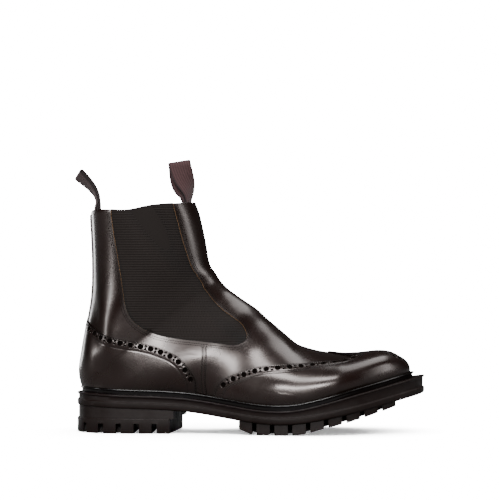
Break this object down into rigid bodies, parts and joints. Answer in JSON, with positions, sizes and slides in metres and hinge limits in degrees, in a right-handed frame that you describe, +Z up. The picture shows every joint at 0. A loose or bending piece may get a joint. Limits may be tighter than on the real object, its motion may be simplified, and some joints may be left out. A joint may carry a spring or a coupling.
{
  "type": "ankle boot",
  "caption": "Right-foot pull-on brogue ankle boot in burnished dark brown leather, with elastic side panels, pull loops, a punched wing-shaped toe overlay and a lugged rubber sole and heel",
  "frame": {"origin": "on the floor under the middle of the boot's bounding box", "axes": "+X from heel to toe, +Y to the boot's medial side, +Z up from the floor"},
  "size_m": [0.3164, 0.1128, 0.2447],
  "materials": {
    "calf_upper": "dark brown calf, burnished and polished",
    "calf_overlay": "dark brown calf, burnished darker at its edges",
    "elastic": "dark brown ribbed elastic, matte",
    "webbing": "purple-brown ribbed tape, matte",
    "insole_leather": "tan vegetable-tanned leather",
    "welt_leather": "black dressed edge, waxed",
    "sole_rubber": "dark brown rubber, satin",
    "heel_rubber": "dark brown rubber, satin"
  },
  "bodies": {
    "root": {"upper": "calf_upper", "gore_lateral": "elastic", "gore_medial": "elastic", "wing_tip": "calf_overlay", "heel_counter": "calf_overlay", "back_strip": "calf_overlay", "side_seam_lateral": "calf_overlay", "side_seam_medial": "calf_overlay", "pull_loop_front": "webbing", "pull_loop_back": "webbing", "insole": "insole_leather", "welt": "welt_leather", "outsole": "sole_rubber", "heel_block": "heel_rubber", "heel_top_piece": "heel_rubber"}
  },
  "joints": []
}
